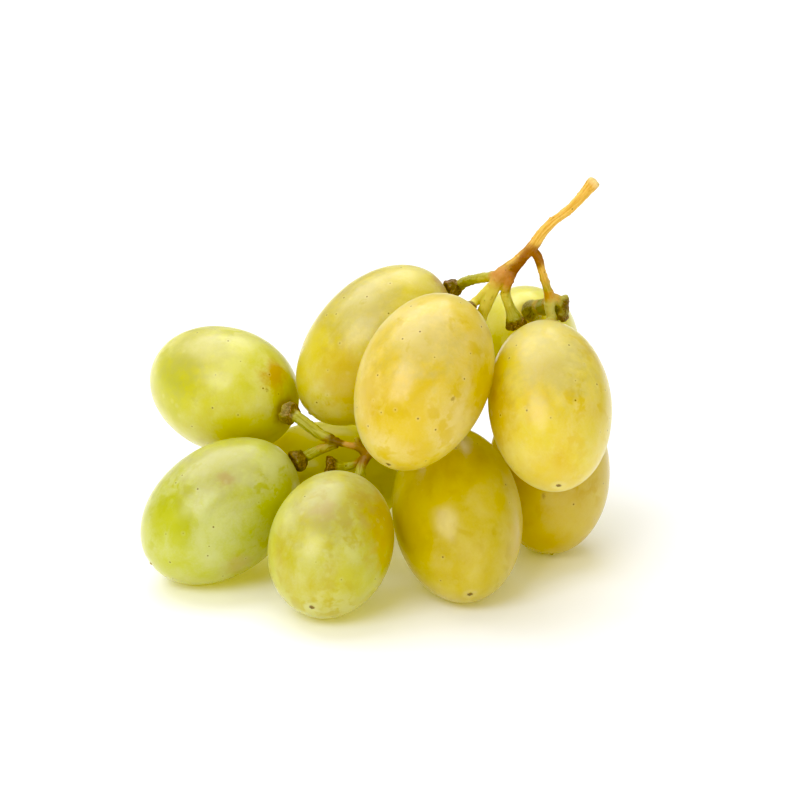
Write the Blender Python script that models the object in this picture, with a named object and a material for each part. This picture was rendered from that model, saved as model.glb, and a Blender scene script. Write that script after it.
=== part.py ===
"""A small bunch of white table grapes lying on a level surface.

Eleven oval berries hang on one branching stalk. Five of them rest on the surface, z = 0, and the
others lie on their neighbours or hang from the stalk. Nothing turns or slides.
"""

import math

import bmesh
import bpy
from mathutils import Matrix, Vector

MM = 0.001

# A berry is an oval of revolution. Its rings of faces run round the long axis.
BERRY_SEGMENTS = 20
BERRY_RINGS = 14

# The receptacle is the swollen end of a pedicel, seated on the stalk end of its berry.
RECEPTACLE_GAP = 0.35
RECEPTACLE_RISE = 1.0
NECK_RISE = 2.3
NECK_RADIUS = 0.85

# Facets round a branch are 4 more than twice this, and its path takes this many steps per point.
BRANCH_BEVEL = 2
BRANCH_STEPS = 3

# Berry name: centre x, y and z (RESTING leaves z to be worked out so that the berry touches the
# surface), then the direction of its stalk end as an azimuth from +X and a tilt above the
# horizontal, then its length, its width and how much fuller its stalk half is than its tip half,
# all in millimetres and degrees, then its colour.
RESTING = None
BERRIES = {
    "berry_upper_left": ((-30.1, 14.5, 26.7), (-35, -5), (28.0, 21.4, 0.02), (0.56, 0.54, 0.09)),
    "berry_lower_left": ((-30.0, -4.6, RESTING), (25, 30), (29.5, 21.7, 0.00), (0.46, 0.49, 0.10)),
    "berry_front_left": ((-11.3, -17.0, RESTING), (75, 30), (26.5, 20.5, 0.00), (0.52, 0.50, 0.11)),
    "berry_top_back": ((-4.4, 11.0, 35.7), (22, 42), (31.8, 21.4, 0.05), (0.64, 0.52, 0.10)),
    "berry_front_middle": ((3.8, -11.2, 37.2), (60, 43), (31.4, 21.5, 0.04), (0.68, 0.52, 0.09)),
    "berry_front_right": ((24.6, -8.0, 32.0), (95, 38), (31.0, 20.4, 0.00), (0.68, 0.56, 0.10)),
    "berry_back_right": ((21.5, 28.0, 29.5), (-85, 45), (29.0, 19.2, 0.03), (0.60, 0.60, 0.16)),
    "berry_low_middle": ((9.5, -7.5, RESTING), (98, 32), (33.0, 21.6, 0.00), (0.44, 0.36, 0.04)),
    "berry_low_right": ((25.5, 9.0, RESTING), (95, 70), (28.8, 20.8, 0.00), (0.42, 0.31, 0.04)),
    "berry_inner_left": ((-13.2, 15.6, RESTING), (-5, 2), (27.6, 19.8, 0.02), (0.34, 0.32, 0.03)),
    "berry_back_middle": ((0.5, 31.4, 18.6), (-35, 25), (28.0, 20.2, 0.03), (0.44, 0.46, 0.06)),
}

# The stalk as branches, each a path of (x, y, z, radius) in millimetres, from where it leaves its
# parent. A branch with a seat ends in a receptacle on a berry. The seat names the berry, the
# direction its skin faces there, as an azimuth and a tilt, and the receptacle's radius.
STALK = [
    # The peduncle, from its cut end down to the first fork, on to the second, and then the rachis
    # behind the front middle berry to the lower fork.
    (
        [
            (31.8, 2.0, 67.3, 0.98),
            (29.4, 2.2, 64.2, 0.80),
            (27.2, 2.4, 61.9, 0.74),
            (24.9, 2.7, 60.0, 0.78),
            (23.4, 2.9, 58.2, 0.82),
            (22.1, 3.1, 56.1, 0.92),
            (20.6, 3.3, 54.3, 0.95),
            (18.8, 3.4, 52.6, 0.95),
            (16.7, 3.5, 50.7, 1.20),
            (15.2, 3.7, 47.6, 1.00),
            (13.6, 4.0, 43.4, 0.98),
            (12.3, 4.0, 39.2, 0.95),
            (10.0, 3.2, 35.3, 0.95),
            (7.5, 2.2, 32.0, 0.95),
            (5.0, 1.4, 29.4, 1.00),
            (2.5, 0.8, 27.0, 0.90),
            (0.0, 0.0, 24.7, 0.85),
            (-2.6, -0.4, 22.6, 0.85),
            (-5.4, -0.9, 20.7, 1.00),
        ],
        None,
    ),
    # Short pedicel to the left of the second fork.
    (
        [(16.4, 3.7, 50.6, 0.9), (13.6, 6.6, 49.2, 0.75), (11.2, 11.6, 47.0, 0.80)],
        ("berry_top_back", (20, 20), 1.65),
    ),
    # Its neighbour, which dives behind the front middle berry.
    (
        [(16.0, 3.6, 49.6, 0.80), (14.0, 4.0, 47.5, 0.66), (12.2, 4.4, 45.4, 0.66)],
        ("berry_front_middle", (59, 18), 1.5),
    ),
    # A bare pedicel, whose berry has dropped: it ends in an open receptacle.
    (
        [
            (20.2, 3.2, 53.6, 0.80),
            (18.9, 3.1, 51.6, 0.66),
            (17.8, 3.3, 49.4, 0.82),
            (17.5, 3.8, 47.4, 0.80),
            (18.3, 4.2, 44.8, 0.80),
            (18.9, 4.5, 43.2, 1.10),
            (19.4, 4.7, 41.6, 1.65),
        ],
        None,
    ),
    # The side branch from the first fork to the small fork over the right-hand berries.
    (
        [
            (21.7, 3.2, 55.4, 0.80),
            (22.8, 3.7, 53.7, 0.72),
            (23.5, 4.4, 51.2, 0.60),
            (24.4, 5.5, 48.0, 0.66),
            (24.9, 6.2, 46.4, 0.85),
            (25.1, 6.7, 45.2, 1.00),
        ],
        None,
    ),
    # Its three pedicels, and the dry stub of a fourth.
    ([(25.1, 6.4, 45.9, 0.85), (25.0, 6.6, 43.8, 0.80)], ("berry_front_right", (80, 29), 1.6)),
    (
        [(25.1, 6.4, 46.0, 0.85), (25.0, 8.8, 43.9, 1.25), (24.3, 12.0, 42.3, 1.45)],
        ("berry_back_right", (-84, 42), 1.95),
    ),
    (
        [
            (25.1, 6.6, 45.8, 0.8),
            (26.0, 9.6, 41.6, 0.70),
            (26.0, 10.8, 37.0, 0.70),
            (25.8, 12.2, 33.0, 0.75),
        ],
        ("berry_low_right", (95, 70), 1.6),
    ),
    ([(24.9, 6.4, 46.0, 0.8), (26.6, 7.0, 45.0, 0.85), (27.3, 7.2, 43.8, 0.90), (27.0, 7.3, 41.8, 0.85)], None),
    ([(26.4, 7.0, 45.1, 0.7), (28.0, 7.2, 45.2, 0.75)], None),
    # Pedicels from the hidden stretch of the rachis.
    (
        [(10.6, 3.4, 36.2, 0.9), (12.6, 9.0, 34.6, 0.75), (13.8, 15.5, 31.0, 0.75)],
        ("berry_back_middle", (-35, 25), 1.7),
    ),
    (
        [(4.6, 1.3, 29.2, 0.9), (5.4, 4.6, 27.6, 0.75), (6.6, 8.0, 25.4, 0.75)],
        ("berry_low_middle", (98, 32), 1.7),
    ),
    (
        [(2.2, 0.7, 26.8, 0.9), (0.6, 4.0, 24.6, 0.75), (1.0, 9.5, 21.8, 0.72), (2.4, 14.0, 18.8, 0.75)],
        ("berry_inner_left", (5, 30), 1.6),
    ),
    # The lower fork: the side branch to the two left-hand berries, with a dry stub.
    (
        [
            (-5.4, -0.9, 20.7, 0.85),
            (-7.0, -1.0, 21.9, 0.60),
            (-9.2, -1.0, 22.5, 0.45),
            (-11.7, -0.2, 23.0, 0.80),
        ],
        None,
    ),
    ([(-6.6, -1.0, 21.8, 0.6), (-7.3, -1.0, 23.6, 0.40)], None),
    (
        [(-11.3, -0.2, 23.0, 0.75), (-13.2, 0.8, 23.5, 0.88), (-15.2, 2.6, 24.3, 0.94)],
        ("berry_upper_left", (-42, -3), 2.0),
    ),
    (
        [(-10.6, -0.7, 22.3, 0.60), (-12.8, 0.4, 21.3, 0.80), (-14.6, 1.0, 20.2, 0.86)],
        ("berry_lower_left", (25, 22), 1.9),
    ),
    (
        [(-5.5, -0.9, 20.6, 0.85), (-6.1, -1.6, 19.6, 0.75), (-6.6, -2.6, 18.7, 0.75)],
        ("berry_front_left", (70, 18), 1.5),
    ),
    # A second bare pedicel.
    (
        [
            (-5.6, -0.6, 20.4, 0.70),
            (-7.2, -0.5, 18.9, 0.62),
            (-9.2, -0.3, 18.2, 0.66),
            (-10.6, -0.3, 18.3, 1.00),
            (-12.1, -0.4, 18.4, 1.50),
        ],
        None,
    ),
]
STALK_COLOUR = (0.42, 0.27, 0.06)


def direction(azimuth, tilt):
    """Unit vector of an azimuth from +X and a tilt above the horizontal, in degrees."""
    around, up = math.radians(azimuth), math.radians(tilt)
    return Vector((math.cos(around) * math.cos(up), math.sin(around) * math.cos(up), math.sin(up)))


def half_height(axis, length, width):
    """Half the height of an oval of revolution whose long axis leans."""
    return math.sqrt((length * axis.z) ** 2 + width**2 * (1 - axis.z**2)) / 2


def berry_pose(name):
    """Centre, unit axis towards the stalk end, length and width of a berry, in millimetres."""
    (x, y, z), angles, (length, width, _), _ = BERRIES[name]
    axis = direction(*angles)
    if z is RESTING:
        z = half_height(axis, length, width)
    return Vector((x, y, z)), axis, length, width


def material(name, colour, roughness):
    made = bpy.data.materials.new(name)
    made.use_nodes = True
    shader = made.node_tree.nodes["Principled BSDF"]
    shader.inputs["Base Color"].default_value = (*colour, 1)
    shader.inputs["Roughness"].default_value = roughness
    shader.inputs["Metallic"].default_value = 0
    return made


def mesh_object(name, mesh, collection):
    made = bpy.data.objects.new(name, mesh)
    collection.objects.link(made)
    return made


def make_berry(name, collection):
    centre, axis, length, width = berry_pose(name)
    fullness = BERRIES[name][2][2]
    shape = bmesh.new()
    bmesh.ops.create_uvsphere(shape, u_segments=BERRY_SEGMENTS, v_segments=BERRY_RINGS, radius=0.5)
    for vertex in shape.verts:
        vertex.co.xy *= 1 + fullness * vertex.co.z / 0.5
    turn = axis.to_track_quat("Z", "Y").to_matrix().to_4x4()
    size = Matrix.Diagonal((width * MM, width * MM, length * MM, 1))
    shape.transform(Matrix.Translation(centre * MM) @ turn @ size)
    if BERRIES[name][0][2] is RESTING:
        # The lowest facet settles on the surface.
        lowest = min(vertex.co.z for vertex in shape.verts)
        bmesh.ops.translate(shape, verts=shape.verts, vec=(0, 0, -lowest))
    for face in shape.faces:
        face.smooth = True
    mesh = bpy.data.meshes.new(name)
    shape.to_mesh(mesh)
    shape.free()
    berry = mesh_object(name, mesh, collection)
    mesh.materials.append(material(name + "_skin", BERRIES[name][3], 0.35))
    return berry


def receptacle_path(name, facing, radius):
    """The last points of a pedicel: a neck that flares on to its seat on the berry's skin."""
    centre, axis, length, width = berry_pose(name)
    out = direction(*facing)
    # The point of an oval where its skin faces the direction out.
    reach = out * (width / 2) ** 2 + axis * axis.dot(out) * ((length / 2) ** 2 - (width / 2) ** 2)
    seat = centre + reach / math.sqrt(reach.dot(out))
    rises = (
        (NECK_RISE, NECK_RADIUS),
        (RECEPTACLE_GAP + RECEPTACLE_RISE, radius * 0.88),
        (RECEPTACLE_GAP, radius),
    )
    return [(*(seat + out * rise), size) for rise, size in rises]


def make_branch(name, points, collection):
    """A tapering round branch along its points, as a closed mesh."""
    curve = bpy.data.curves.new(name, "CURVE")
    curve.dimensions = "3D"
    curve.resolution_u = BRANCH_STEPS
    curve.bevel_resolution = BRANCH_BEVEL
    curve.bevel_depth = MM
    curve.use_fill_caps = True
    spline = curve.splines.new("BEZIER")
    spline.bezier_points.add(len(points) - 1)
    for knot, (x, y, z, radius) in zip(spline.bezier_points, points):
        knot.co = (x * MM, y * MM, z * MM)
        knot.radius = radius
        knot.handle_left_type = "AUTO"
        knot.handle_right_type = "AUTO"
    path = mesh_object(name + "_path", curve, collection)
    bpy.context.view_layer.update()
    evaluated = path.evaluated_get(bpy.context.evaluated_depsgraph_get())
    mesh = bpy.data.meshes.new_from_object(evaluated)
    bpy.data.objects.remove(path)
    weld = bmesh.new()
    weld.from_mesh(mesh)
    bmesh.ops.remove_doubles(weld, verts=weld.verts, dist=0.01 * MM)
    bmesh.ops.recalc_face_normals(weld, faces=weld.faces)
    weld.to_mesh(mesh)
    weld.free()
    return mesh_object(name, mesh, collection)


def make_stalk(collection, guides):
    """All branches joined into one body, on the first of them."""
    bark = material("rachis_bark", STALK_COLOUR, 0.6)
    joined = bpy.data.collections.new("stalk_branches")
    guides.children.link(joined)
    joined.hide_render = True
    stalk = None
    for number, (points, seat) in enumerate(STALK):
        path = points + (receptacle_path(*seat) if seat else [])
        if stalk is None:
            stalk = make_branch("rachis", path, collection)
            continue
        branch = make_branch(f"branch_{number:02d}", path, joined)
        branch.hide_render = True
        branch.display_type = "WIRE"
    stalk.data.materials.clear()
    stalk.data.materials.append(bark)
    for face in stalk.data.polygons:
        face.use_smooth = True
    union = stalk.modifiers.new("branches", "BOOLEAN")
    union.operation = "UNION"
    union.solver = "EXACT"
    union.operand_type = "COLLECTION"
    union.collection = joined
    return stalk


def centre_on_origin(pieces, helpers):
    """Moves everything so that the origin is below the middle of the pieces' box."""
    bpy.context.view_layer.update()
    graph = bpy.context.evaluated_depsgraph_get()
    corners = []
    for piece in pieces:
        evaluated = piece.evaluated_get(graph)
        mesh = evaluated.to_mesh()
        corners += [evaluated.matrix_world @ vertex.co for vertex in mesh.vertices]
        evaluated.to_mesh_clear()
    middle = [(min(point[i] for point in corners) + max(point[i] for point in corners)) / 2 for i in (0, 1)]
    for thing in pieces + helpers:
        thing.location.x -= middle[0]
        thing.location.y -= middle[1]


def main():
    for old in list(bpy.data.objects):
        bpy.data.objects.remove(old)
    bunch = bpy.data.collections.new("grape_bunch")
    guides = bpy.data.collections.new("guides")
    bpy.context.scene.collection.children.link(bunch)
    bpy.context.scene.collection.children.link(guides)
    pieces = [make_berry(name, bunch) for name in BERRIES]
    pieces.append(make_stalk(bunch, guides))
    guides.hide_render = True
    centre_on_origin(pieces, list(guides.all_objects))


main()
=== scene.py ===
"""The looks of a small bunch of white table grapes.

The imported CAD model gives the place, size and lean of each berry, and the whole run of the stalk.
Each berry is remade as a fine closed skin, dimpled round its receptacle and scarred at its tip, and
the stalk as a fine mesh with ridged bark, warty receptacles and dry forks.
"""

import math

import bmesh
import bpy
import numpy as np
from mathutils import Matrix, Vector, noise
from mathutils.kdtree import KDTree


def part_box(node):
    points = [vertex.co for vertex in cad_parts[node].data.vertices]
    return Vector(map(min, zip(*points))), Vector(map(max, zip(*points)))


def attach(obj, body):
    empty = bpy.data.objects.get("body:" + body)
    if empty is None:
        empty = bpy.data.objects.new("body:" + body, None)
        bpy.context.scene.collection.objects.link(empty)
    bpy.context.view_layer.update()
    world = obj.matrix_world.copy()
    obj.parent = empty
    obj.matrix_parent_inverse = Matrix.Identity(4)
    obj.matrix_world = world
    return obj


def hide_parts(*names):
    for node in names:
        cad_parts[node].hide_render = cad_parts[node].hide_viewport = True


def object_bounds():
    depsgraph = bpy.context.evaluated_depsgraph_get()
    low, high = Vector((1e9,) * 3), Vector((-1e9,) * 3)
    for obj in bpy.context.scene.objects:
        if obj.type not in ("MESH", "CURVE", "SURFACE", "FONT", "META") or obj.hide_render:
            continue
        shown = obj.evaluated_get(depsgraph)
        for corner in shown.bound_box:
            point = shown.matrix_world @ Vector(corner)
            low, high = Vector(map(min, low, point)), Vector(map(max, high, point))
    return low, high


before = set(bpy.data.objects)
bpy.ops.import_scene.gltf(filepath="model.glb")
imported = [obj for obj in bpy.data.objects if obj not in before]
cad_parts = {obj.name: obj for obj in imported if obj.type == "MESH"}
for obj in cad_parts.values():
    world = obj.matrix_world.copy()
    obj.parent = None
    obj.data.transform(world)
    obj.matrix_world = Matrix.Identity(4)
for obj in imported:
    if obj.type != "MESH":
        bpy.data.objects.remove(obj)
CAD_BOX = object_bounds()

# Meshes are worked out in millimetres and scaled to metres as they are made.
MM = 0.001

# A berry's skin: rings from its stalk end to its tip, closer together near both ends. Then, in
# millimetres, its unevenness, the dimple round its receptacle and the scar at its tip.
RINGS = 92
AROUND = 96
RING_CROWDING = 0.72
UNEVENNESS = 0.16
DIMPLE_DEPTH = 0.40
DIMPLE_REACH = 2.6
SCAR_REACH = 0.55
PUCKER_DEPTH = 0.18
NUB_HEIGHT = 0.24
# The skins that rest on the surface are flat there, this far above it.
CLEARANCE = 0.02

# The stalk's mesh size, its rounding, and how far it is grown again to make up for that.
STALK_GRAIN = 0.16
STALK_SMOOTHING = 4
STALK_REGROWTH = 0.08
# A branch's direction is taken from the bark this close, at every so many of its points.
AXIS_REACH = 2.2
AXIS_EVERY = 60
# How far the bark's ridges, lumps, warts and scabs stand out, and the flare at the cut end.
RIDGE_HEIGHT = 0.045
LUMP_HEIGHT = 0.09
WART_HEIGHT = 0.34
WART_SWELL = 0.20
SCAB_HEIGHT = 0.28
FLARE_HEIGHT = 0.10
FLARE_REACH = 1.8
# How far from its berry a receptacle is warty, and the shorter one.
RECEPTACLE_REACH = 2.6
SHORT_RECEPTACLES = {"berry_back_right": 1.7}

# Stands for a distance out of all reach.
FAR = 9.0

# The camera: its tilt above the horizontal, distance, lens, and what it looks at, as an offset
# from the middle of the bunch.
CAMERA_TILT = 20
CAMERA_AWAY = 0.55
CAMERA_LENS = 148.5
CAMERA_SENSOR = 36.0
CAMERA_OFFSET = (3.73, -6.58, -3.97)

FLOOR_SIZE = 6.0
WORLD_STRENGTH = 0.45
# Each light: azimuth and tilt it shines from, its distance, width, height and power.
LIGHTS = {
    "key": (-126, 41, 1.3, 0.80, 0.70, 9.0),
    "top": (114, 62, 1.4, 1.6, 1.2, 17.5),
    "fill": (-65, 12, 1.4, 1.4, 0.8, 4.6),
}


def tint(red, green, blue):
    """A colour from its display values, 0 to 255, as linear light."""
    shares = (red / 255, green / 255, blue / 255)
    return tuple(s / 12.92 if s <= 0.04045 else ((s + 0.055) / 1.055) ** 2.4 for s in shares)


def direction(azimuth, tilt):
    """Unit vector of an azimuth from +X and a tilt above the horizontal, in degrees."""
    around, up = math.radians(azimuth), math.radians(tilt)
    return Vector((math.cos(around) * math.cos(up), math.sin(around) * math.cos(up), math.sin(up)))


# Colours of patches on the skins: a blush, sun, the green under a leaf, and grey dust on the bloom,
# which on the tops is also painted shade that dulls them where the top lamp falls brightest.
ROSE = tint(196, 150, 90)
AMBER = tint(212, 174, 10)
LEAF = tint(194, 196, 14)
TOP_DUST_AND_SHADE = tint(178, 168, 116)
# What each crossing of a skin leaves of the light that goes right through a berry, close under it
# and further off, where the light that has spread through the flesh is paler.
CLEAR_FLESH = (0.58, 0.53, 0.0)
PALE_FLESH = (0.60, 0.58, 0.50)
# These lie deep in the bunch, and are duller.
SHADED = ("berry_inner_left", "berry_back_middle")
# How much of the light the skin's colours give back.
SKIN_SHADE = 0.74
# Berry name: its material slot, then the colours of its flesh, of its deeper places and of its
# waxy bloom, how much bloom it has, and its patches. A patch is the direction it lies in from the
# berry's centre, as an azimuth and a tilt, then its reach in millimetres, its strength and colour.
# The grey dust patches high on the tops are painted shade as well as dust.
LOOKS = {
    "berry_upper_left": (
        "skin_green",
        (tint(212, 208, 35), tint(198, 198, 2), tint(236, 234, 157)),
        0.55,
        [
            (-40, 24, 3.2, 0.9, tint(202, 160, 12)),
            (-150, 25, 6.0, 0.6, LEAF),
            # A deep yellow patch low on the front: a painted glow of light passing down through the
            # flesh.
            (-75, -30, 9.0, 0.5, tint(206, 190, 4)),
            (-140, 52, 8.0, 0.4, TOP_DUST_AND_SHADE),
        ],
    ),
    "berry_lower_left": (
        "skin_green",
        (tint(196, 200, 48), tint(178, 180, 2), tint(216, 220, 157)),
        0.75,
        [
            (-80, 50, 1.6, 0.6, ROSE),
            (-20, 10, 5.0, 0.6, LEAF),
            (-70, -35, 3.0, 0.35, ROSE),
            (-90, 66, 9.0, 0.45, TOP_DUST_AND_SHADE),
        ],
    ),
    "berry_front_left": (
        "skin_green",
        (tint(204, 202, 52), tint(186, 164, 4), tint(220, 222, 157)),
        0.65,
        [
            (-10, 20, 8.0, 0.7, AMBER),
            (-95, 55, 2.2, 0.5, ROSE),
            (160, 10, 6.0, 0.5, LEAF),
            (-90, 66, 9.0, 0.5, TOP_DUST_AND_SHADE),
        ],
    ),
    "berry_top_back": (
        "skin_gold",
        (tint(222, 204, 45), tint(200, 178, 2), tint(240, 228, 152)),
        0.6,
        [(10, 40, 3.5, 0.7, ROSE), (-110, -10, 7.0, 0.5, AMBER), (-120, 60, 8.0, 0.4, TOP_DUST_AND_SHADE)],
    ),
    "berry_front_middle": (
        "skin_gold",
        (tint(230, 201, 44), tint(216, 182, 4), tint(246, 227, 157)),
        0.6,
        [(-140, 5, 5.0, 0.55, AMBER), (-20, -5, 6.0, 0.5, AMBER), (-100, 58, 8.0, 0.35, TOP_DUST_AND_SHADE)],
    ),
    "berry_front_right": (
        "skin_gold",
        (tint(232, 210, 45), tint(220, 184, 4), tint(242, 228, 157)),
        0.55,
        [(-150, 0, 6.0, 0.6, AMBER), (-90, -30, 6.0, 0.4, AMBER), (-95, 62, 8.0, 0.4, TOP_DUST_AND_SHADE)],
    ),
    "berry_back_right": (
        "skin_green",
        (tint(228, 220, 72), tint(216, 206, 30), tint(242, 236, 168)),
        0.6,
        [],
    ),
    "berry_low_middle": (
        "skin_olive",
        (tint(206, 184, 26), tint(190, 164, 2), tint(228, 212, 125)),
        0.5,
        [(-30, -15, 6.0, 0.5, AMBER)],
    ),
    "berry_low_right": (
        "skin_olive",
        (tint(214, 186, 34), tint(200, 162, 2), tint(224, 204, 120)),
        0.45,
        [],
    ),
    "berry_inner_left": (
        "skin_olive",
        (tint(204, 196, 34), tint(188, 182, 4), tint(210, 204, 80)),
        0.3,
        [],
    ),
    "berry_back_middle": (
        "skin_green",
        (tint(206, 196, 37), tint(188, 174, 2), tint(226, 216, 136)),
        0.5,
        [],
    ),
}


# Places on the stalk, as shares of its box: the cut end, and the open or dry ends of pedicels
# whose berries have dropped, with how far each is corky, in millimetres.
CUT_END = (0.986, 0.250, 0.989)
DRY_ENDS = [
    ((0.751, 0.336, 0.522), 2.4),
    ((0.156, 0.172, 0.102), 2.3),
    ((0.895, 0.420, 0.527), 1.6),
    ((0.908, 0.417, 0.577), 1.5),
]
# Stretches of the stalk with a colour of their own: middle, reach in millimetres, strength, colour.
STALK_TINTS = [
    # The first fork's brown web, and along the underside of the wood below it a dark brown strand:
    # brown wood darkened there as painted shade.
    ((0.800, 0.279, 0.746), 2.8, 0.90, tint(140, 72, 26)),
    ((0.766, 0.251, 0.714), 2.3, 0.90, tint(128, 60, 22)),
    ((0.744, 0.251, 0.688), 2.1, 0.90, tint(128, 60, 22)),
    ((0.726, 0.261, 0.662), 1.9, 0.80, tint(140, 72, 32)),
    # The pinkish second fork.
    ((0.694, 0.269, 0.682), 2.6, 0.75, tint(204, 136, 74)),
    # The yellow-green rachis behind the front middle berry.
    ((0.655, 0.313, 0.597), 4.9, 0.85, tint(222, 206, 92)),
    # The orange knot over the right-hand berries, and the pale pedicel below it.
    ((0.858, 0.388, 0.609), 2.0, 0.80, tint(214, 140, 54)),
    ((0.860, 0.383, 0.563), 2.1, 0.75, tint(206, 200, 112)),
    # The thick green pedicel beside it, its dark receptacle, and the dry stub at the other side.
    ((0.832, 0.520, 0.553), 2.2, 0.80, tint(126, 128, 44)),
    ((0.795, 0.690, 0.508), 2.4, 0.90, tint(86, 58, 30)),
    ((0.915, 0.420, 0.560), 2.4, 0.90, tint(92, 56, 30)),
    # The lower fork, brown with a peach streak, and its two dark rings.
    ((0.268, 0.149, 0.154), 3.1, 0.75, tint(142, 92, 46)),
    ((0.208, 0.145, 0.174), 1.9, 0.75, tint(204, 152, 88)),
    ((0.180, 0.169, 0.184), 1.9, 0.90, tint(96, 58, 28)),
    ((0.272, 0.140, 0.115), 1.6, 0.80, tint(136, 82, 66)),
]


def on_stalk(share):
    """A place given as shares of the stalk's box, in millimetres."""
    low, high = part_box("rachis")
    return Vector(low[i] + (high[i] - low[i]) * share[i] for i in range(3)) / MM


class Graph:
    """A material's shader nodes, and short calls that add more of them."""

    def __init__(self, name):
        self.material = bpy.data.materials.new(name)
        self.material.use_nodes = True
        self.tree = self.material.node_tree
        self.shader = self.tree.nodes["Principled BSDF"]

    def add(self, kind, values=(), **settings):
        """A node of that kind with its settings, and a value or a link for each input named."""
        made = self.tree.nodes.new("ShaderNode" + kind)
        for key, value in settings.items():
            setattr(made, key, value)
        for key, value in dict(values).items():
            self.put(made.inputs[key], value)
        return made

    def put(self, socket, value):
        """Link the socket to a node's output, or set its value."""
        if isinstance(value, bpy.types.NodeSocket):
            self.tree.links.new(value, socket)
        elif hasattr(value, "__len__") and len(socket.default_value) == 4:
            socket.default_value = (*value, 1)
        else:
            socket.default_value = value

    def maths(self, operation, *values):
        return self.add("Math", enumerate(values), operation=operation).outputs[0]

    def step(self, value, low, high, start=0.0, end=1.0):
        """start below low, end above high, and smooth in between."""
        made = self.add(
            "MapRange",
            {0: value, 1: low, 2: high, 3: start, 4: end},
            interpolation_type="SMOOTHSTEP",
        )
        return made.outputs[0]

    def blend(self, share, low, high):
        made = self.add("Mix", {0: share, 6: low, 7: high}, data_type="RGBA", clamp_factor=True)
        return made.outputs[2]

    def noise(self, place, scale, detail=2.0, roughness=0.5, distortion=0.0):
        values = {
            "Vector": place,
            "Scale": scale,
            "Detail": detail,
            "Roughness": roughness,
            "Distortion": distortion,
        }
        return self.add("TexNoise", values).outputs["Fac"]

    def stretched(self, place, factors):
        return self.add("VectorMath", {0: place, 1: factors}, operation="MULTIPLY").outputs[0]

    def shifted(self, place, step):
        return self.add("VectorMath", {0: place, 1: step}, operation="ADD").outputs[0]

    def distance(self, place, point):
        return self.add("VectorMath", {0: place, 1: point}, operation="DISTANCE").outputs["Value"]

    def millimetres(self):
        """The place on the piece, in its own axes and in millimetres."""
        place = self.add("TexCoord").outputs["Object"]
        return self.stretched(place, (1 / MM,) * 3)

    def specks(self, place, spacing, share, radius, seed):
        """Distance to the nearest of some scattered points, as a share of radius.

        Only a share of the cells has a point, and the rest are FAR from any.
        """
        cell = self.add(
            "TexVoronoi",
            {"Vector": self.shifted(place, (seed, seed * 0.7, seed * 1.3)), "Scale": 1 / spacing},
        )
        picked = self.add("SeparateColor", {0: cell.outputs["Color"]}).outputs[0]
        away = self.maths("MULTIPLY", cell.outputs["Distance"], spacing / radius)
        return self.maths("ADD", away, self.step(picked, share, share + 0.001, 0.0, FAR))


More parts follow.
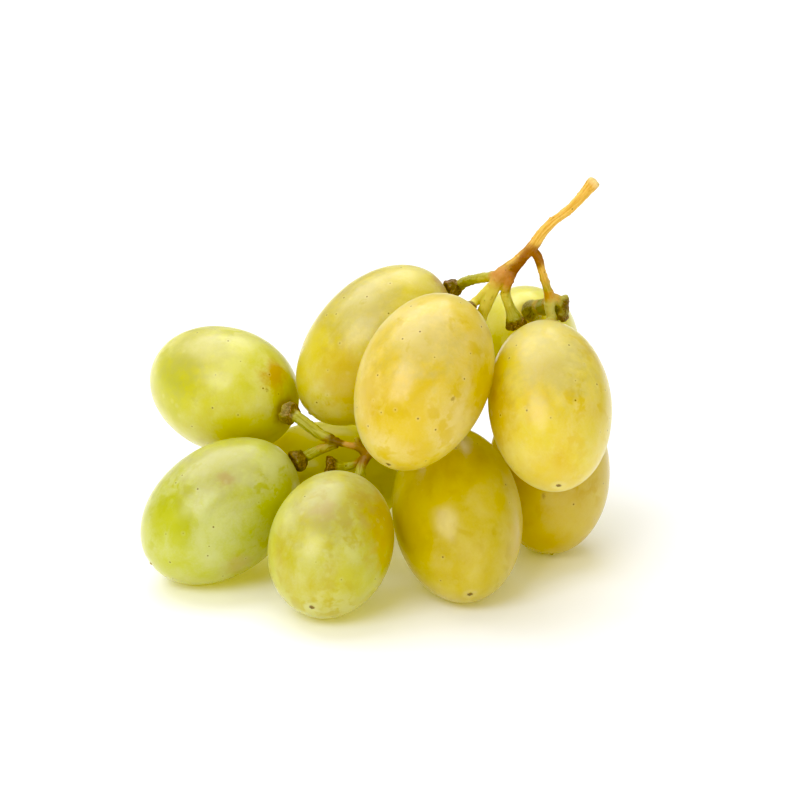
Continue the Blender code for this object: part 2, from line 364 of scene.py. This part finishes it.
class Berry:
    """A CAD berry's place and shape, read from its node."""

    def __init__(self, name, stalk_points):
        self.name = name
        points = np.array([v.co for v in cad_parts[name].data.vertices]) / MM
        middle = points.mean(0)
        end = points[np.argmax(np.linalg.norm(points - middle, axis=1))]
        other = points[np.argmax(np.linalg.norm(points - end, axis=1))]
        gaps = [np.linalg.norm(stalk_points - pole, axis=1).min() for pole in (end, other)]
        if gaps[0] > gaps[1]:
            end, other = other, end
        self.centre = Vector((end + other) / 2)
        self.length = float(np.linalg.norm(end - other))
        self.axis = Vector(end - other).normalized()
        # Its radius at a height s, from -1 at the tip to 1, is (width / 2 + taper s) sqrt(1 - s s).
        from_centre = points - np.array(self.centre)
        along = from_centre @ np.array(self.axis)
        out = np.linalg.norm(from_centre - np.outer(along, np.array(self.axis)), axis=1)
        s = along / (self.length / 2)
        waist = np.abs(s) < 0.9
        fit = np.polyfit(s[waist], out[waist] / np.sqrt(1 - s[waist] ** 2), 1)
        self.taper, self.width = float(fit[0]), float(2 * fit[1])
        self.turn = self.axis.to_track_quat("Z", "Y")
        self.matrix = Matrix.Translation(self.centre) @ self.turn.to_matrix().to_4x4()
        self.seat = self.find_seat(stalk_points)

    def find_seat(self, stalk_points):
        """The middle of the receptacle's face, in the berry's own axes."""
        local = (stalk_points - np.array(self.centre)) @ np.array(self.turn.to_matrix())
        scaled = local / np.array([self.width / 2, self.width / 2, self.length / 2])
        out = np.linalg.norm(scaled, axis=1)
        out[local[:, 2] < 0.55 * np.linalg.norm(local, axis=1)] = FAR
        nearest = local[np.argmin(out)]
        face = (out < out.min() + 0.05) & (np.linalg.norm(local - nearest, axis=1) < 4.0)
        return Vector(local[face].mean(0))

    def local(self, azimuth, tilt):
        """The point of the skin in a world direction from the centre, in the berry's own axes."""
        d = self.turn.inverted() @ direction(azimuth, tilt)
        across = math.hypot(d.x, d.y) / (self.width / 2)
        return d / math.hypot(across, d.z / (self.length / 2))

    def skin(self, polar, around):
        """A point of the skin, with the small unevenness of a real one."""
        s = math.cos(polar)
        out = (self.width / 2 + self.taper * s) * math.sin(polar)
        point = Vector((out * math.cos(around), out * math.sin(around), self.length / 2 * s))
        across, height = point / self.width**2, point / self.length**2
        normal = Vector((across.x, across.y, height.z)).normalized()
        seed = self.centre * 7
        swell = noise.noise(point / 8.5 + seed) * 0.7 + noise.noise(point / 3.6 + seed) * 0.3
        shift = -UNEVENNESS * (0.3 - 0.5 * swell)
        to_seat = (point - self.seat).length
        shift -= DIMPLE_DEPTH * math.exp(-((to_seat / DIMPLE_REACH) ** 2))
        # The stylar scar: a puckered hollow with a dry nub in it.
        to_tip = math.hypot(point.x, point.y) if s < 0 else FAR
        pucker = PUCKER_DEPTH * math.exp(-((to_tip / (SCAR_REACH * 2.0)) ** 2))
        pucker *= 1 + 0.25 * math.cos(5 * around + seed.x)
        nub = NUB_HEIGHT * math.exp(-((to_tip / (SCAR_REACH * 0.6)) ** 2))
        nub *= 1 + 0.5 * noise.noise(point * 4.0 + seed)
        return point + normal * (shift - pucker + nub)

    def build(self):
        """The fine skin, as an object in the berry's own axes."""
        shape = bmesh.new()
        rows = []
        for ring in range(1, RINGS):
            u = ring / RINGS
            polar = math.pi * u - RING_CROWDING * math.sin(2 * math.pi * u) / 2
            angles = (2 * math.pi * k / AROUND for k in range(AROUND))
            rows.append([shape.verts.new(self.skin(polar, a)) for a in angles])
        top = shape.verts.new(self.skin(0, 0))
        tip = shape.verts.new(self.skin(math.pi, 0))
        for k in range(AROUND):
            after = (k + 1) % AROUND
            shape.faces.new((top, rows[0][k], rows[0][after]))
            shape.faces.new((tip, rows[-1][after], rows[-1][k]))
            for upper, lower in zip(rows, rows[1:]):
                shape.faces.new((upper[k], lower[k], lower[after], upper[after]))
        for face in shape.faces:
            face.smooth = True
        bmesh.ops.recalc_face_normals(shape, faces=shape.faces)
        mesh = bpy.data.meshes.new(self.name + "_skin")
        shape.to_mesh(mesh)
        shape.free()
        # The patterns of the skin lie in the berry's own axes, whatever way it leans.
        own_axes = [value for vertex in mesh.vertices for value in vertex.co]
        mesh.attributes.new("place", "FLOAT_VECTOR", "POINT").data.foreach_set("vector", own_axes)
        for vertex in mesh.vertices:
            place = self.matrix @ vertex.co
            place.z = max(place.z, CLEARANCE)
            vertex.co = place * MM
        piece = bpy.data.objects.new(self.name + "_skin", mesh)
        bpy.context.scene.collection.objects.link(piece)
        return piece


def skin_material(berry, colours, bloom_share, patches, number):
    """Translucent flesh under a mottled waxy bloom, with brown specks, patches and scars."""
    g = Graph(berry.name + "_skin")
    flesh, deep, bloom = colours
    seed = 11.3 * number + 4.7
    place = g.add("Attribute", attribute_name="place").outputs["Vector"]
    moved = g.shifted(place, (seed, -seed, seed * 0.6))

    # Flesh: soft clouds of the two colours, with faint fibres running from end to end.
    clouds = g.noise(moved, 0.09, 2.0, 0.45, 0.3)
    fibres = g.noise(g.stretched(moved, (1.0, 1.0, 0.18)), 0.9, 2.0)
    fibrous = g.maths("MULTIPLY", g.maths("SUBTRACT", fibres, 0.5), 0.5)
    depth = g.maths("ADD", g.step(clouds, 0.42, 0.66), fibrous)
    colour = g.blend(g.maths("MULTIPLY", depth, 0.5), flesh, deep)

    # Bloom: broad pale clouds that are wiped away in places, finely grained.
    veil = g.noise(g.shifted(moved, (31, 17, 5)), 0.11, 2.0, 0.5, 0.4)
    streaked = g.stretched(g.shifted(moved, (3, 44, 9)), (1.0, 0.55, 0.7))
    wipes = g.noise(streaked, 0.34, 3.0, 0.55, 0.5)
    grain = g.noise(moved, 2.6, 3.0, 0.65)
    thick = g.maths("ADD", g.maths("MULTIPLY", veil, 0.55), g.maths("MULTIPLY", wipes, 0.33))
    thick = g.maths("ADD", thick, g.maths("MULTIPLY", grain, 0.12))
    waxy = g.step(thick, 0.36, 0.64, 0.0, bloom_share)
    # Rubbed spots, crisper at their edges, gather in some places and let the flesh show.
    rubs = g.noise(g.shifted(moved, (52, 8, 23)), 0.36, 3.0, 0.55, 0.3)
    gathered = g.step(g.noise(g.shifted(moved, (9, 71, 13)), 0.10, 1.0), 0.42, 0.60)
    rubbed = g.maths("MULTIPLY", g.step(rubs, 0.50, 0.64), gathered)
    waxy = g.maths("MULTIPLY", waxy, g.maths("SUBTRACT", 1.0, g.maths("MULTIPLY", rubbed, 0.80)))
    colour = g.blend(g.maths("MULTIPLY", rubbed, 0.40), colour, deep)
    colour = g.blend(waxy, colour, bloom)

    # Patches where sun, rubbing or a leaf has coloured the skin, grey dust on the tops that is also
    # painted shade, and on one berry a painted glow low on its front.
    ragged = g.noise(moved, 0.55, 3.0, 0.6)
    for azimuth, tilt, reach, strength, patch_colour in patches:
        away = g.distance(place, berry.local(azimuth, tilt))
        edge = g.maths("MULTIPLY", g.maths("SUBTRACT", ragged, 0.5), reach * 1.6)
        share = g.step(g.maths("ADD", away, edge), reach * 0.25, reach * 1.25, strength, 0.0)
        colour = g.blend(share, colour, patch_colour)

    # Lenticels: faint halos with a brown point in them, and larger corky flecks.
    dots = g.specks(place, 2.0, 0.42, 0.21, seed)
    colour = g.blend(g.step(dots, 1.2, 3.0, 0.18, 0.0), colour, bloom)
    colour = g.blend(g.step(dots, 0.45, 1.05, 0.85, 0.0), colour, tint(104, 70, 10))
    flecks = g.specks(g.stretched(place, (1.0, 1.0, 0.6)), 4.2, 0.10, 0.42, seed * 1.7)
    flecks = g.maths("ADD", flecks, g.maths("MULTIPLY", g.maths("SUBTRACT", grain, 0.5), 2.2))
    colour = g.blend(g.step(flecks, 0.4, 1.1, 0.6, 0.0), colour, tint(150, 112, 40))

    # The stylar scar at the tip, and a russet ring round the stalk's seat.
    tip = Vector((0, 0, -berry.length / 2))
    frayed = g.maths("MULTIPLY", g.maths("SUBTRACT", grain, 0.5), 0.5)
    to_tip = g.maths("ADD", g.distance(place, tip), frayed)
    colour = g.blend(g.step(to_tip, 0.8, 1.7, 0.5, 0.0), colour, bloom)
    colour = g.blend(g.step(to_tip, 0.32, 0.62, 0.95, 0.0), colour, tint(104, 62, 22))
    wavy = g.maths("MULTIPLY", g.maths("SUBTRACT", ragged, 0.5), 2.2)
    to_seat = g.maths("ADD", g.distance(place, berry.seat), wavy)
    colour = g.blend(g.step(to_seat, 1.8, 3.6, 0.55, 0.0), colour, tint(170, 132, 44))

    shader = g.shader
    g.put(shader.inputs["Base Color"], g.stretched(colour, (SKIN_SHADE,) * 3))
    g.put(shader.inputs["Roughness"], g.step(thick, 0.36, 0.64, 0.40, 0.60))
    shader.inputs["Subsurface Weight"].default_value = 1.0
    shader.inputs["Subsurface Radius"].default_value = (1.0, 0.85, 0.12)
    shader.inputs["Subsurface Scale"].default_value = 20.0 * MM
    shader.inputs["Specular Tint"].default_value = (1.0, 0.97, 0.85, 1)
    shader.inputs["Coat Weight"].default_value = 0.15 if berry.name in SHADED else 0.8
    shader.inputs["Coat Roughness"].default_value = 0.24
    shader.inputs["Coat IOR"].default_value = 1.42
    shader.inputs["IOR"].default_value = 1.42
    shader.inputs["Sheen Weight"].default_value = 0.12
    shader.inputs["Sheen Roughness"].default_value = 0.35
    shader.inputs["Sheen Tint"].default_value = (1.0, 0.97, 0.86, 1)

    # Relief: the faint unevenness of skin, the corky specks, and the grain of the bloom.
    height = g.maths("MULTIPLY", g.noise(moved, 0.8, 2.0), 0.05)
    height = g.maths("ADD", height, g.maths("MULTIPLY", grain, 0.006))
    height = g.maths("ADD", height, g.step(dots, 0.3, 1.2, 0.03, 0.0))
    bump = g.add("Bump", {"Height": height, "Distance": MM, "Strength": 0.6})
    g.put(shader.inputs["Normal"], bump.outputs["Normal"])

    # Lamps shine on through the clear flesh, so that its shadows glow.
    path = g.add("LightPath")
    spread = g.step(path.outputs["Ray Length"], 15 * MM, 34 * MM)
    through = g.add("BsdfTransparent", {"Color": g.blend(spread, CLEAR_FLESH, PALE_FLESH)})
    lamps = path.outputs["Is Shadow Ray"]
    both = g.add("MixShader", {0: lamps, 1: shader.outputs[0], 2: through.outputs[0]})
    g.tree.links.new(both.outputs[0], g.tree.nodes["Material Output"].inputs["Surface"])
    return g.material


def stalk_mesh():
    """The CAD stalk as an even, smoothed fine mesh, in millimetres."""
    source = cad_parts["rachis"].data.copy()
    source.transform(Matrix.Scale(1 / MM, 4))
    weld = bmesh.new()
    weld.from_mesh(source)
    bmesh.ops.remove_doubles(weld, verts=weld.verts, dist=0.002)
    weld.to_mesh(source)
    weld.free()
    draft = bpy.data.objects.new("stalk_draft", source)
    bpy.context.scene.collection.objects.link(draft)
    remesh = draft.modifiers.new("even", "REMESH")
    remesh.mode = "VOXEL"
    remesh.voxel_size = STALK_GRAIN
    smooth = draft.modifiers.new("rounded", "SMOOTH")
    smooth.iterations = STALK_SMOOTHING
    smooth.factor = 0.5
    bpy.context.view_layer.update()
    evaluated = draft.evaluated_get(bpy.context.evaluated_depsgraph_get())
    mesh = bpy.data.meshes.new_from_object(evaluated)
    bpy.data.objects.remove(draft)
    return mesh


def branch_axes(points):
    """For each point of the stalk, its branch's direction, centre and how forked it is there."""
    tree = KDTree(len(points))
    for i, point in enumerate(points):
        tree.insert(point, i)
    tree.balance()
    axes, centres, forks = [], [], []
    picks = range(0, len(points), AXIS_EVERY)
    coarse = KDTree(len(picks))
    for n, i in enumerate(picks):
        near = np.array([found[0] for found in tree.find_range(points[i], AXIS_REACH)])
        centre = near.mean(0)
        spread, turn = np.linalg.eigh(np.cov((near - centre).T))
        axes.append(turn[:, 2])
        centres.append(centre)
        forks.append(1 - (spread[2] - spread[1]) / spread[2])
        coarse.insert(points[i], n)
    coarse.balance()
    axes, centres, forks = np.array(axes), np.array(centres), np.array(forks)
    along, middle, forked = [], [], []
    for point in points:
        found = coarse.find_n(point, 5)
        share = np.array([1 / (0.2 + f[2]) for f in found])
        share /= share.sum()
        index = [f[1] for f in found]
        picked = axes[index]
        picked = picked * np.sign(picked @ picked[0])[:, None]
        mean = share @ picked
        along.append(mean / np.linalg.norm(mean))
        middle.append(share @ centres[index])
        forked.append(share @ forks[index])
    return np.array(along), np.array(middle), np.array(forked)


def build_stalk(berries):
    """The fine stalk, with its ridges, lumps and warts, and the attributes its colours need."""
    mesh = stalk_mesh()
    count = len(mesh.vertices)
    points = np.empty(count * 3)
    mesh.vertices.foreach_get("co", points)
    points = points.reshape(-1, 3)
    normals = np.empty(count * 3)
    mesh.vertex_normals.foreach_get("vector", normals)
    normals = normals.reshape(-1, 3)
    along, middle, forked = branch_axes(points)
    # Receptacles: the stretches close to a berry's seat, and the other pedicels' open or dry ends.
    ends = [
        (berry.matrix @ berry.seat, SHORT_RECEPTACLES.get(berry.name, RECEPTACLE_REACH))
        for berry in berries
    ]
    ends += [(on_stalk(share), reach) for share, reach in DRY_ENDS]
    away = np.linalg.norm(points[:, None, :] - np.array([end for end, _ in ends])[None], axis=2)
    to_seat = away.min(1)
    to_cut = np.linalg.norm(points - np.array(on_stalk(CUT_END)), axis=1)
    wart_zone = np.clip(1.25 - (away / np.array([reach for _, reach in ends])).min(1), 0, 1)
    wart_zone = wart_zone * wart_zone * (3 - 2 * wart_zone)
    from_axis = points - middle
    from_axis -= (from_axis * along).sum(1)[:, None] * along
    radius = np.linalg.norm(from_axis, axis=1)
    radial = from_axis / np.maximum(radius, 0.05)[:, None]
    moved = np.empty_like(points)
    for i in range(count):
        p, r = Vector(points[i]), Vector(radial[i])
        ridge = noise.noise(r * 1.9 + p * 0.10) * RIDGE_HEIGHT * (1 - wart_zone[i])
        lump = noise.noise(p * 0.9) * LUMP_HEIGHT
        warts = 0.0
        if wart_zone[i] > 0.01:
            d = noise.voronoi(p * 1.15)[0]
            warts = (0.50 - min(d[0], 1.0)) * WART_HEIGHT + WART_SWELL
            warts += noise.noise(p * 1.1) * 0.34 + noise.noise(p * 3.1) * 0.16
            warts *= wart_zone[i]
        scabs = max(0.0, noise.noise(p * 1.6 + Vector((9, 3, 1))) - 0.25) * SCAB_HEIGHT
        flare = FLARE_HEIGHT * math.exp(-((to_cut[i] / FLARE_REACH) ** 2))
        shift = STALK_REGROWTH + ridge + lump + warts + scabs + flare
        moved[i] = points[i] + normals[i] * shift
    mesh.vertices.foreach_set("co", (moved * MM).ravel())
    mesh.update()
    for name, values in (
        ("warty", wart_zone),
        ("forked", forked * (1 - wart_zone)),
        ("to_cut", to_cut),
        ("to_seat", to_seat),
    ):
        made = mesh.attributes.new(name, "FLOAT", "POINT")
        made.data.foreach_set("value", values.astype(np.float32))
    grain = mesh.attributes.new("grain", "FLOAT_VECTOR", "POINT")
    grain.data.foreach_set("vector", (radial * 1.9 + points * 0.12).astype(np.float32).ravel())
    for face in mesh.polygons:
        face.use_smooth = True
    mesh.materials.clear()
    piece = bpy.data.objects.new("rachis_bark", mesh)
    bpy.context.scene.collection.objects.link(piece)
    return piece


def stalk_material():
    """Green pedicels, golden peduncle, red-brown forks, and dark corky receptacles."""
    g = Graph("rachis_bark")
    place = g.millimetres()
    warty, forked, to_cut, to_seat = (
        g.add("Attribute", attribute_name=name).outputs["Fac"]
        for name in ("warty", "forked", "to_cut", "to_seat")
    )
    grain = g.add("Attribute", attribute_name="grain").outputs["Vector"]
    streaks = g.noise(grain, 2.0, 3.0, 0.55)
    blotches = g.noise(place, 0.55, 4.0, 0.62, 0.5)
    fine = g.noise(place, 3.2, 3.0, 0.65)

    green = g.blend(g.step(streaks, 0.30, 0.68), tint(144, 136, 36), tint(174, 168, 72))
    ochre = g.blend(g.step(streaks, 0.30, 0.70), tint(204, 150, 50), tint(236, 194, 100))
    # The peduncle is golden from its cut end to the forks.
    ripe = g.step(g.maths("ADD", to_cut, g.maths("MULTIPLY", blotches, 4.0)), 20.0, 25.0, 1.0, 0.0)
    colour = g.blend(ripe, green, ochre)
    # Forks are redder and browner.
    woody = g.maths("ADD", forked, g.maths("MULTIPLY", g.maths("SUBTRACT", blotches, 0.5), 0.9))
    colour = g.blend(g.step(woody, 0.40, 0.76, 0.0, 0.5), colour, tint(186, 116, 54))
    # Stretches with a colour of their own.
    ragged = g.maths("MULTIPLY", g.maths("SUBTRACT", g.noise(place, 0.9, 3.0, 0.6), 0.5), 1.6)
    for share, reach, strength, own in STALK_TINTS:
        away = g.distance(place, on_stalk(share))
        near = g.step(g.maths("ADD", away, ragged), reach * 0.55, reach * 1.15, strength, 0.0)
        colour = g.blend(near, colour, own)
    colour = g.blend(g.step(blotches, 0.62, 0.76, 0.0, 0.55), colour, tint(120, 76, 28))
    # Pale necks before the receptacles, and the corky receptacles themselves.
    neck = g.maths("MULTIPLY", g.step(to_seat, 3.0, 5.0, 1.0, 0.0), g.step(streaks, 0.3, 0.6))
    colour = g.blend(g.maths("MULTIPLY", neck, 0.35), colour, tint(186, 184, 96))
    cork = g.blend(g.step(fine, 0.36, 0.68), tint(80, 50, 28), tint(156, 118, 76))
    crumbs = g.noise(place, 1.2, 3.0, 0.6)
    cork = g.blend(g.step(crumbs, 0.46, 0.60, 0.0, 0.75), cork, tint(82, 54, 28))
    cork = g.blend(g.step(blotches, 0.50, 0.62, 0.0, 0.3), cork, tint(134, 114, 40))
    corky = g.maths("ADD", warty, g.maths("MULTIPLY", blotches, 0.3))
    colour = g.blend(g.step(corky, 0.45, 0.85), colour, cork)
    lenticels = g.specks(place, 1.1, 0.26, 0.17, 3.3)
    colour = g.blend(g.step(lenticels, 0.5, 1.2, 0.7, 0.0), colour, tint(92, 60, 24))
    colour = g.blend(g.step(to_cut, 0.7, 1.3, 0.7, 0.0), colour, tint(246, 222, 150))

    shader = g.shader
    g.put(shader.inputs["Base Color"], colour)
    g.put(shader.inputs["Roughness"], g.step(fine, 0.3, 0.7, 0.48, 0.72))
    shader.inputs["Subsurface Weight"].default_value = 0.3
    shader.inputs["Subsurface Radius"].default_value = (1.0, 0.6, 0.2)
    shader.inputs["Subsurface Scale"].default_value = 0.7 * MM
    shader.inputs["IOR"].default_value = 1.45
    relief = g.maths("ADD", g.maths("MULTIPLY", streaks, 0.05), g.maths("MULTIPLY", fine, 0.05))
    relief = g.maths("ADD", relief, g.step(lenticels, 0.4, 1.3, 0.04, 0.0))
    bump = g.add("Bump", {"Height": relief, "Distance": MM, "Strength": 0.8})
    g.put(shader.inputs["Normal"], bump.outputs["Normal"])
    return g.material


def build_object():
    """The berries and the stalk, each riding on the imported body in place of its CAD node."""
    rachis = np.array([v.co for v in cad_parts["rachis"].data.vertices]) / MM
    berries = [Berry(name, rachis) for name in LOOKS]
    for number, berry in enumerate(berries):
        slot, colours, bloom_share, patches = LOOKS[berry.name]
        piece = berry.build()
        piece.data.materials.append(skin_material(berry, colours, bloom_share, patches, number))
        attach(piece, "root")
        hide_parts(berry.name)
    stalk = build_stalk(berries)
    stalk.data.materials.append(stalk_material())
    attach(stalk, "root")
    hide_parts("rachis")


def build_stage():
    """A white floor, even white light all round, and large soft lights."""
    mesh = bpy.data.meshes.new("floor")
    corners = [(x * FLOOR_SIZE, y * FLOOR_SIZE, 0) for x, y in ((-1, -1), (1, -1), (1, 1), (-1, 1))]
    mesh.from_pydata(corners, [], [(0, 1, 2, 3)])
    floor = bpy.data.objects.new("floor", mesh)
    bpy.context.scene.collection.objects.link(floor)
    g = Graph("floor")
    place = g.millimetres()
    g.put(g.shader.inputs["Base Color"], g.blend(g.noise(place, 0.05), (0.94,) * 3, (0.96,) * 3))
    g.shader.inputs["Roughness"].default_value = 0.7
    mesh.materials.append(g.material)

    world = bpy.data.worlds.new("studio")
    world.use_nodes = True
    world.node_tree.nodes["Background"].inputs["Color"].default_value = (1, 1, 1, 1)
    world.node_tree.nodes["Background"].inputs["Strength"].default_value = WORLD_STRENGTH
    bpy.context.scene.world = world

    centre = (CAD_BOX[0] + CAD_BOX[1]) / 2
    for name, (azimuth, tilt, away, width, height, power) in LIGHTS.items():
        data = bpy.data.lights.new(name, "AREA")
        data.shape = "RECTANGLE"
        data.size, data.size_y, data.energy = width, height, power
        lamp = bpy.data.objects.new(name, data)
        bpy.context.scene.collection.objects.link(lamp)
        towards = direction(azimuth, tilt)
        lamp.location = centre + towards * away
        lamp.rotation_mode = "QUATERNION"
        lamp.rotation_quaternion = towards.to_track_quat("Z", "Y")


def build_camera():
    """The camera looks down at the bunch from its front, with a long lens."""
    centre = (CAD_BOX[0] + CAD_BOX[1]) / 2
    target = centre + Vector(CAMERA_OFFSET) * MM
    data = bpy.data.cameras.new("camera")
    data.lens = CAMERA_LENS
    data.sensor_width = CAMERA_SENSOR
    camera = bpy.data.objects.new("camera", data)
    bpy.context.scene.collection.objects.link(camera)
    camera.location = target + direction(-90, CAMERA_TILT) * CAMERA_AWAY
    camera.rotation_euler = (math.radians(90 - CAMERA_TILT), 0, 0)
    bpy.context.scene.camera = camera


build_object()
build_stage()
build_camera()
# A slightly raised black level in blue deepens the yellows.
view = bpy.context.scene.view_settings
view.view_transform = "Standard"
view.use_curve_mapping = True
view.curve_mapping.black_level = (0.0, 0.0, 0.04)
view.curve_mapping.update()
